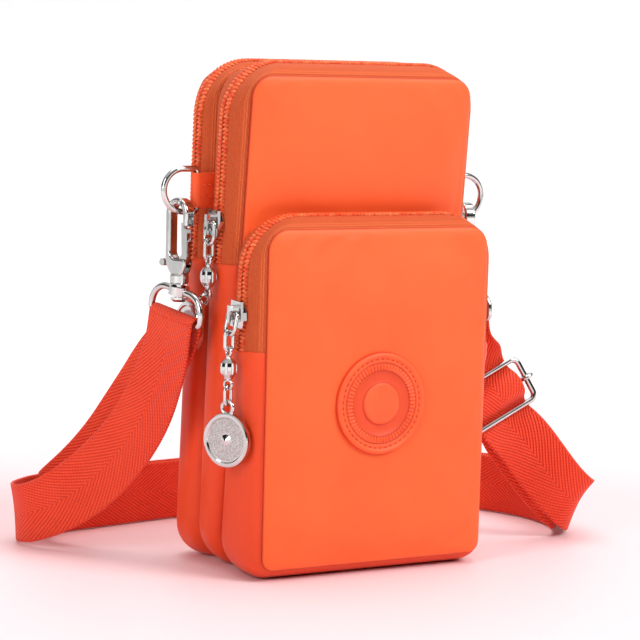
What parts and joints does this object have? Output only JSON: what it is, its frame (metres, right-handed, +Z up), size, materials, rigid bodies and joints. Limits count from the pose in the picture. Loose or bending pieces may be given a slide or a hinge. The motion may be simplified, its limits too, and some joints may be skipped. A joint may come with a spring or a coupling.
{
  "type": "phone pouch with shoulder strap",
  "caption": "Upright padded phone pouch with stacked zipped compartments, chain zip pulls, side D-rings and a flat webbing shoulder strap on swivel snap hooks.",
  "frame": {"origin": "on the floor under the middle of the pouch, without its strap", "axes": "+X to the right seen from the front, -Y the front with the badge, +Z up"},
  "size_m": [0.2387, 0.1462, 0.1994],
  "materials": {
    "panel_cloth": "satin-coated padded nylon",
    "side_cloth": "satin-coated nylon",
    "zip_tape": "woven tape",
    "zip_coil": "nylon coil",
    "badge": "soft moulded rubber",
    "webbing": "herringbone webbing",
    "hardware": "polished nickel plate",
    "charm_metal": "nickel plate, blasted field"
  },
  "bodies": {
    "pouch": {"back_panel": "panel_cloth", "divider_panel": "panel_cloth", "front_panel": "panel_cloth", "pocket_panel": "panel_cloth", "rear_gusset": "side_cloth", "mid_gusset": "side_cloth", "pocket_gusset": "side_cloth", "rear_zip_tape_back": "zip_tape", "rear_zip_tape_front": "zip_tape", "mid_zip_tape_back": "zip_tape", "mid_zip_tape_front": "zip_tape", "pocket_zip_tape_back": "zip_tape", "pocket_zip_tape_front": "zip_tape", "rear_zip_coil": "zip_coil", "mid_zip_coil": "zip_coil", "pocket_zip_coil": "zip_coil", "badge": "badge", "left_tab": "side_cloth", "right_tab": "side_cloth", "left_hook_eye": "hardware", "right_hook_eye": "hardware", "strap_outer_run": "webbing", "strap_inner_run": "webbing", "strap_bar_fold": "webbing", "left_strap_fold": "webbing", "right_strap_fold": "webbing", "adjuster_frame": "hardware", "adjuster_bar": "hardware"},
    "left_ring": {"left_d_ring": "hardware"},
    "left_hook": {"left_hook_body": "hardware", "left_hook_pin": "hardware"},
    "left_gate": {"left_hook_gate": "hardware"},
    "right_ring": {"right_d_ring": "hardware"},
    "right_hook": {"right_hook_body": "hardware", "right_hook_pin": "hardware"},
    "right_gate": {"right_hook_gate": "hardware"},
    "pocket_slider": {"pocket_slider": "hardware"},
    "pocket_pull": {"pocket_pull": "hardware"},
    "pocket_link": {"pocket_link": "hardware"},
    "pocket_bead": {"pocket_bead": "hardware"},
    "pocket_eyelet": {"pocket_eyelet": "hardware"},
    "pocket_charm_ring": {"pocket_charm_ring": "hardware"},
    "pocket_charm": {"pocket_charm": "charm_metal"},
    "mid_slider": {"mid_slider": "hardware"},
    "mid_pull": {"mid_pull": "hardware"},
    "mid_link": {"mid_link": "hardware"},
    "mid_bead": {"mid_bead": "hardware"},
    "mid_eyelet": {"mid_eyelet": "hardware"},
    "mid_charm_ring": {"mid_charm_ring": "hardware"},
    "mid_charm": {"mid_charm": "charm_metal"},
    "rear_slider": {"rear_slider": "hardware"},
    "rear_pull": {"rear_pull": "hardware"},
    "rear_link": {"rear_link": "hardware"},
    "rear_bead": {"rear_bead": "hardware"},
    "rear_eyelet": {"rear_eyelet": "hardware"},
    "rear_charm_ring": {"rear_charm_ring": "hardware"},
    "rear_charm": {"rear_charm": "charm_metal"}
  },
  "joints": [
    {"name": "left_ring_swing", "type": "hinge", "parent": "pouch", "child": "left_ring", "pos_m": [-0.0588, 0.00942, 0.148], "axis": [0, 0, 1], "range_deg": [-5, 8]},
    {"name": "left_hook_swivel", "type": "hinge", "parent": "pouch", "child": "left_hook", "pos_m": [-0.0657, 0.00942, 0.1091], "axis": [0, 0, 1], "range_deg": [-12, 12]},
    {"name": "left_gate_hinge", "type": "hinge", "parent": "left_hook", "child": "left_gate", "pos_m": [-0.06502, 0.00671, 0.1199], "axis": [-0.9703, -0.2419, 0], "range_deg": [0, 17], "stiffness_Nm_per_rad": 0.02},
    {"name": "right_ring_swing", "type": "hinge", "parent": "pouch", "child": "right_ring", "pos_m": [0.061, 0.00955, 0.145], "axis": [0, 0, 1], "range_deg": [-8, 5]},
    {"name": "right_hook_swivel", "type": "hinge", "parent": "pouch", "child": "right_hook", "pos_m": [0.0676, 0.00955, 0.1061], "axis": [0, 0, 1], "range_deg": [-12, 12]},
    {"name": "right_gate_hinge", "type": "hinge", "parent": "right_hook", "child": "right_gate", "pos_m": [0.06692, 0.00683, 0.1169], "axis": [-0.9703, 0.2419, 0], "range_deg": [0, 17], "stiffness_Nm_per_rad": 0.02},
    {"name": "pocket_slider_travel", "type": "slide", "parent": "pouch", "child": "pocket_slider", "axis": [0, -0.0474, 0.9989], "range_m": [0, 0.01]},
    {"name": "pocket_pull_lift", "type": "hinge", "parent": "pocket_slider", "child": "pocket_pull", "pos_m": [-0.0584, -0.02108, 0.1031], "axis": [0, 1, 0], "range_deg": [0, 80]},
    {"name": "pocket_link_hinge", "type": "hinge", "parent": "pocket_pull", "child": "pocket_link", "pos_m": [-0.05986, -0.02108, 0.09483], "axis": [0, 1, 0], "range_deg": [0, 60]},
    {"name": "pocket_bead_swing", "type": "hinge", "parent": "pocket_link", "child": "pocket_bead", "pos_m": [-0.05986, -0.02108, 0.08878], "axis": [-1, 0, 0], "range_deg": [-10, 25]},
    {"name": "pocket_bead_swivel", "type": "hinge", "parent": "pocket_bead", "child": "pocket_eyelet", "pos_m": [-0.05986, -0.02108, 0.07583], "axis": [0, 0, 1], "range_deg": [-50, 5]},
    {"name": "pocket_ring_swing", "type": "hinge", "parent": "pocket_eyelet", "child": "pocket_charm_ring", "pos_m": [-0.05986, -0.02108, 0.07583], "axis": [-0.9063, -0.4226, 0], "range_deg": [-10, 30]},
    {"name": "pocket_charm_swing", "type": "hinge", "parent": "pocket_charm_ring", "child": "pocket_charm", "pos_m": [-0.05986, -0.02108, 0.06998], "axis": [-0.4226, 0.9063, 0], "range_deg": [0, 45]},
    {"name": "mid_slider_travel", "type": "slide", "parent": "pouch", "child": "mid_slider", "axis": [0, -0.0685, 0.9976], "range_m": [0, 0.028]},
    {"name": "mid_pull_lift", "type": "hinge", "parent": "mid_slider", "child": "mid_pull", "pos_m": [-0.0584, -0.00139, 0.1364], "axis": [0, 1, 0], "range_deg": [0, 0.8]},
    {"name": "mid_link_hinge", "type": "hinge", "parent": "mid_pull", "child": "mid_link", "pos_m": [-0.05869, -0.00139, 0.12801], "axis": [0, 1, 0], "range_deg": [0, 0.8]},
    {"name": "mid_bead_swing", "type": "hinge", "parent": "mid_link", "child": "mid_bead", "pos_m": [-0.05869, -0.00139, 0.12195], "axis": [-1, 0, 0], "range_deg": [0, 13]},
    {"name": "mid_bead_swivel", "type": "hinge", "parent": "mid_bead", "child": "mid_eyelet", "pos_m": [-0.05869, -0.00139, 0.10901], "axis": [0, 0, 1], "range_deg": [-2, 2]},
    {"name": "mid_ring_swing", "type": "hinge", "parent": "mid_eyelet", "child": "mid_charm_ring", "pos_m": [-0.05869, -0.00139, 0.10901], "axis": [-1, 0, 0], "range_deg": [0, 33]},
    {"name": "mid_charm_swing", "type": "hinge", "parent": "mid_charm_ring", "child": "mid_charm", "pos_m": [-0.05869, 0.00274, 0.10487], "axis": [0, 0.7071, 0.7071], "range_deg": [-4, 1]},
    {"name": "rear_slider_travel", "type": "slide", "parent": "pouch", "child": "rear_slider", "axis": [0, -0.0471, 0.9989], "range_m": [0, 0.028]},
    {"name": "rear_pull_lift", "type": "hinge", "parent": "rear_slider", "child": "rear_pull", "pos_m": [0.0584, 0.01918, 0.1364], "axis": [0, -1, 0], "range_deg": [0, 1.5]},
    {"name": "rear_link_hinge", "type": "hinge", "parent": "rear_pull", "child": "rear_link", "pos_m": [0.05986, 0.01918, 0.12813], "axis": [0, -1, 0], "range_deg": [0, 1.5]},
    {"name": "rear_bead_swing", "type": "hinge", "parent": "rear_link", "child": "rear_bead", "pos_m": [0.05986, 0.01918, 0.12208], "axis": [1, 0, 0], "range_deg": [-40, 5]},
    {"name": "rear_bead_swivel", "type": "hinge", "parent": "rear_bead", "child": "rear_eyelet", "pos_m": [0.05986, 0.01918, 0.10913], "axis": [0, 0, 1], "range_deg": [-8, 4]},
    {"name": "rear_ring_swing", "type": "hinge", "parent": "rear_eyelet", "child": "rear_charm_ring", "pos_m": [0.05986, 0.01918, 0.10913], "axis": [0.9848, 0.1736, 0], "range_deg": [-40, 40]},
    {"name": "rear_charm_swing", "type": "hinge", "parent": "rear_charm_ring", "child": "rear_charm", "pos_m": [0.05986, 0.01918, 0.10328], "axis": [0.1736, -0.9848, 0], "range_deg": [-3, 3]}
  ]
}
